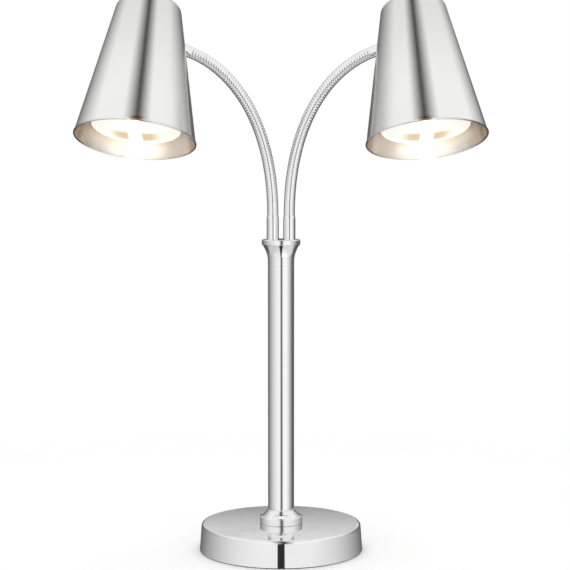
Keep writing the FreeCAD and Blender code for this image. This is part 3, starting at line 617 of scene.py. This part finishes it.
def neck_piece(name, line, start, finish, material):
    """A closed length of gooseneck between two spots on its line."""
    steps = max(2, round((finish - start) * RIDGES_PER_LINK * RIDGE_STEPS))
    mesh = bmesh.new()
    rings = []
    for step in range(steps + 1):
        spot = start + (finish - start) * step / steps
        place, heading = line.at(spot)
        outward = heading.cross(line.across)
        ring = []
        for segment in range(NECK_SEGMENTS):
            angle = 2 * math.pi * segment / NECK_SEGMENTS
            arm = outward * math.cos(angle) + line.across * math.sin(angle)
            ring.append(mesh.verts.new(place + arm * (NECK_RADIUS - ridge(spot, angle))))
        rings.append(ring)
    for lower, upper in zip(rings, rings[1:]):
        for first in range(NECK_SEGMENTS):
            second = (first + 1) % NECK_SEGMENTS
            mesh.faces.new((lower[first], lower[second], upper[second], upper[first]))
    mesh.faces.new(reversed(rings[0]))
    mesh.faces.new(rings[-1])
    bmesh.ops.recalc_face_normals(mesh, faces=mesh.faces)
    for face in mesh.faces:
        face.smooth = len(face.verts) == 4
    return finish_mesh(name, mesh, material)


def finish_mesh(name, mesh, material):
    """Turns a bmesh into an object in the scene."""
    data = bpy.data.meshes.new(name)
    mesh.to_mesh(data)
    mesh.free()
    data.materials.append(material)
    obj = bpy.data.objects.new(name, data)
    bpy.context.scene.collection.objects.link(obj)
    return obj


def build_neck(side, material):
    """One blended piece across each joint, from the middle of a link to the middle of the next."""
    chain = neck_chain(side)
    line = NeckLine(chain)
    link_length = (line.points[1] - line.points[0]).length
    end_gap = NECK_END_GAP / link_length
    last = len(chain) - 1
    for index, joint in enumerate(chain):
        start = -end_gap if index == 0 else index - 0.5
        finish = last + end_gap if index == last else index + 0.5
        piece = neck_piece(f"{side}_gooseneck_{index + 1}", line, start, finish, material)
        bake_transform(piece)
        if index < last:
            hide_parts(f"{side}_neck_link_{index + 1}")


# ---- studio ----


def for_reflections_only(obj):
    """Marks stage equipment that only shiny surfaces see."""
    obj.visible_camera = False
    obj.visible_diffuse = False
    obj.visible_transmission = False
    obj.visible_shadow = False


def build_floor():
    """A pale floor that takes the soft shadow and fades out before its edge."""
    mesh = bmesh.new()
    bmesh.ops.create_circle(mesh, cap_ends=True, radius=FLOOR_RADIUS, segments=FLOOR_SEGMENTS)
    material, tree, shader = new_material("studio_floor", Roughness=0.9)
    place = object_place(tree)
    grain = noise(tree, place, 3.0, 2.0)
    colour = blend_colours(tree, grain, (0.5, 0.5, 0.5), (0.53, 0.53, 0.53))
    from_middle = add(tree, "VectorMath", {0: place}, operation="LENGTH").outputs["Value"]
    solid = fall(tree, from_middle, *(share * FLOOR_RADIUS for share in FLOOR_FADE))
    drive(tree, shader, Base_Color=colour, Alpha=solid)
    floor = finish_mesh("studio_floor", mesh, material)
    floor.visible_glossy = False


def stage_material(name, kind):
    """A material of one plain shader, with its strength or colour socket left to link."""
    material = bpy.data.materials.new(name)
    material.use_nodes = True
    tree = material.node_tree
    tree.nodes.remove(tree.nodes["Principled BSDF"])
    shader = add(tree, kind)
    output = tree.nodes["Material Output"]
    tree.links.new(shader.outputs[0], output.inputs["Surface"])
    return material, tree, shader


def strip(name, rows, material):
    """A sheet through rows of points."""
    mesh = bmesh.new()
    lines = [[mesh.verts.new(point) for point in row] for row in rows]
    for lower, upper in zip(lines, lines[1:]):
        for first in range(len(lower) - 1):
            mesh.faces.new((lower[first], lower[first + 1], upper[first + 1], upper[first]))
    return finish_mesh(name, mesh, material)


def build_dark_arch():
    """Black cloth over the camera, densest at the middle: the dark line in every bright part."""
    material, tree, shader = stage_material("dark_arch", "BsdfTransparent")
    x, _, height = separate(tree, object_place(tree))
    middle = remap(tree, height, ARCH_HEIGHT, ARCH_RADIUS, 0.1, 0.0)
    reach = remap(tree, height, ARCH_HEIGHT, ARCH_RADIUS, 0.75 * ARCH_REACH, ARCH_REACH)
    sideways = maths(tree, "ABSOLUTE", maths(tree, "SUBTRACT", x, middle))
    share = maths(tree, "MINIMUM", maths(tree, "DIVIDE", sideways, reach), 1.0)
    drive(tree, shader, Color=share)
    rows = []
    for degrees in range(ARCH_LOW, ARCH_HIGH + 1, ARCH_STEP):
        angle = math.radians(degrees)
        y = -ARCH_RADIUS * math.cos(angle)
        z = ARCH_HEIGHT + ARCH_RADIUS * math.sin(angle)
        rows.append([(-1.2 * ARCH_REACH, y, z), (1.2 * ARCH_REACH, y, z)])
    for_reflections_only(strip("dark_arch", rows, material))


def build_table_ring():
    """The lit table close round the base, as the wall of the base mirrors it."""
    material, tree, shader = stage_material("table_ring", "Emission")
    x, y, _ = separate(tree, object_place(tree))
    sideways = distance(tree, x)
    from_front = maths(tree, "ARCTAN2", sideways, product(tree, y, -1.0))
    fade = remap(tree, from_front, math.radians(15), math.radians(125), 0.95, 0.12)
    gap = remap(tree, sideways, 0.9 * TABLE_RING_GAP, 1.1 * TABLE_RING_GAP, 0.03, 1.0)
    gap = highest(tree, gap, maths(tree, "GREATER_THAN", y, 0.0))
    drive(tree, shader, Strength=product(tree, fade, gap))
    rows = []
    for z in (TABLE_RING_LOW, TABLE_RING_HIGH):
        row = []
        for degrees in range(0, 361, TABLE_RING_STEP):
            angle = math.radians(degrees)
            row.append((TABLE_RING_RADIUS * math.cos(angle), TABLE_RING_RADIUS * math.sin(angle), z))
        rows.append(row)
    for_reflections_only(strip("table_ring", rows, material))


def build_table_glow():
    """The lit table as steep reflections find it. Flat ones pass through to the walls."""
    material, tree, shader = stage_material("table_glow", "Emission")
    x, y, _ = separate(tree, object_place(tree))
    to_right = remap(tree, x, -0.3, 0.3, 0.94, 1.12)
    to_middle = remap(tree, y, -0.6, -0.1, 1.0, 0.7)
    to_back = remap(tree, y, 0.0, 0.45, 1.0, 0.1)
    lit = product(tree, to_right, to_middle, to_back)
    half_line = remap(tree, y, -0.8, -0.2, 0.06, 0.05)
    line = remap(tree, maths(tree, "DIVIDE", distance(tree, x), half_line), 0.6, 2.0, 0.03, 1.0)
    line = highest(tree, line, rise(tree, y, -0.15, 0.0))
    drive(tree, shader, Strength=product(tree, lit, line))
    clear = add(tree, "BsdfTransparent").outputs[0]
    facing = add(tree, "LayerWeight", {"Blend": 0.5}).outputs["Facing"]
    steep = fall(tree, facing, 0.55, 0.65)
    mix = add(tree, "MixShader", {0: steep, 1: clear, 2: shader.outputs[0]})
    tree.links.new(mix.outputs[0], tree.nodes["Material Output"].inputs["Surface"])
    mesh = bmesh.new()
    bmesh.ops.create_circle(mesh, cap_ends=True, radius=TABLE_GLOW_RADIUS, segments=FLOOR_SEGMENTS)
    for_reflections_only(finish_mesh("table_glow", mesh, material))


def side_walls(tree, x, y, z):
    """Light walls: they darken to the back, brighten upwards, and are dimmer low down on the right."""
    wall = maths(tree, "MULTIPLY_ADD", y, -WALL_FALL, WALL_LEVEL)
    lift = product(tree, highest(tree, z, 0.0), remap(tree, x, -0.5, 0.5, 0.75, 0.95))
    wall = maths(tree, "ADD", wall, lift)
    low_right = product(tree, rise(tree, x, -0.3, 0.3), fall(tree, z, -0.05, 0.25))
    loss = product(tree, low_right, maths(tree, "MULTIPLY_ADD", y, 0.37, 0.08))
    wall = maths(tree, "SUBTRACT", wall, loss)
    return maths(tree, "MINIMUM", wall, remap(tree, z, 0.0, 0.35, 1.06, 0.96))


def high_back_panel(tree, x, y, z):
    """A panel high up behind the object, which the base's top and its rounded edge mirror."""
    panel = product(tree, remap(tree, y, 0.4, 0.7, 0.0, 0.78), rise(tree, z, 0.24, 0.3))
    return product(tree, panel, fall(tree, distance(tree, x), 0.3, 0.5), fall(tree, y, 0.9, 0.96))


def back_card(tree, y, z):
    """A card straight behind the object: dim low down, bright along its top, faintly lit at the horizon."""
    level = maths(tree, "SQRT", maths(tree, "SUBTRACT", 1.0, product(tree, z, z)))
    behind = maths(tree, "DIVIDE", y, highest(tree, level, 0.001))
    fade = remap(tree, z, 0.205, 0.232, 0.1, 0.84)
    horizon = remap(tree, z, 0.0, 0.05, 0.25, 0.0)
    low = maths(tree, "LESS_THAN", z, 0.3)
    return product(tree, rise(tree, behind, 0.93, 0.97), highest(tree, fade, horizon), low)


def build_studio():
    """White to the camera. Reflections see light walls that fade from the front to the back."""
    world = bpy.data.worlds.new("studio")
    bpy.context.scene.world = world
    world.use_nodes = True
    tree = world.node_tree
    background = tree.nodes["Background"]
    x, y, z = separate(tree, add(tree, "TexCoord").outputs["Generated"])
    high_back = highest(tree, high_back_panel(tree, x, y, z), WALL_LEAST)
    wall = highest(tree, side_walls(tree, x, y, z), high_back)
    wall_light = product(tree, wall, remap(tree, z, -0.5, -0.36, BELOW_SHARE, 1.0))
    ceiling = remap(tree, z, 0.93, 0.98, 0.0, CEILING_LEVEL)
    seen = highest(tree, wall_light, back_card(tree, y, z), ceiling)
    to_camera = add(tree, "LightPath").outputs["Is Camera Ray"]
    background.inputs["Color"].default_value = (1, 1, 1, 1)
    drive(tree, background, Strength=highest(tree, seen, to_camera))


def build_lights():
    """One wide soft lamp overhead, for the matt surfaces and the shadow."""
    light = bpy.data.lights.new("overhead", "AREA")
    light.shape = "DISK"
    light.size = OVERHEAD_SIZE
    light.energy = OVERHEAD_POWER
    lamp = bpy.data.objects.new("overhead", light)
    lamp.location = (0, 0, OVERHEAD_HEIGHT)
    lamp.visible_glossy = False
    bpy.context.scene.collection.objects.link(lamp)


def build_camera():
    data = bpy.data.cameras.new("camera")
    data.lens = CAMERA_LENS
    data.sensor_width = CAMERA_SENSOR
    camera = bpy.data.objects.new("camera", data)
    camera.location = CAMERA_PLACE
    camera.rotation_euler = (math.radians(90 + CAMERA_PITCH), 0, math.radians(CAMERA_YAW))
    bpy.context.scene.collection.objects.link(camera)
    bpy.context.scene.camera = camera


bpy.context.scene.view_settings.view_transform = "Standard"
looks = dress_cad_nodes()
for side in SIDES:
    build_neck(side, looks["neck_chrome"])
build_floor()
build_dark_arch()
build_table_ring()
build_table_glow()
build_studio()
build_lights()
build_camera()
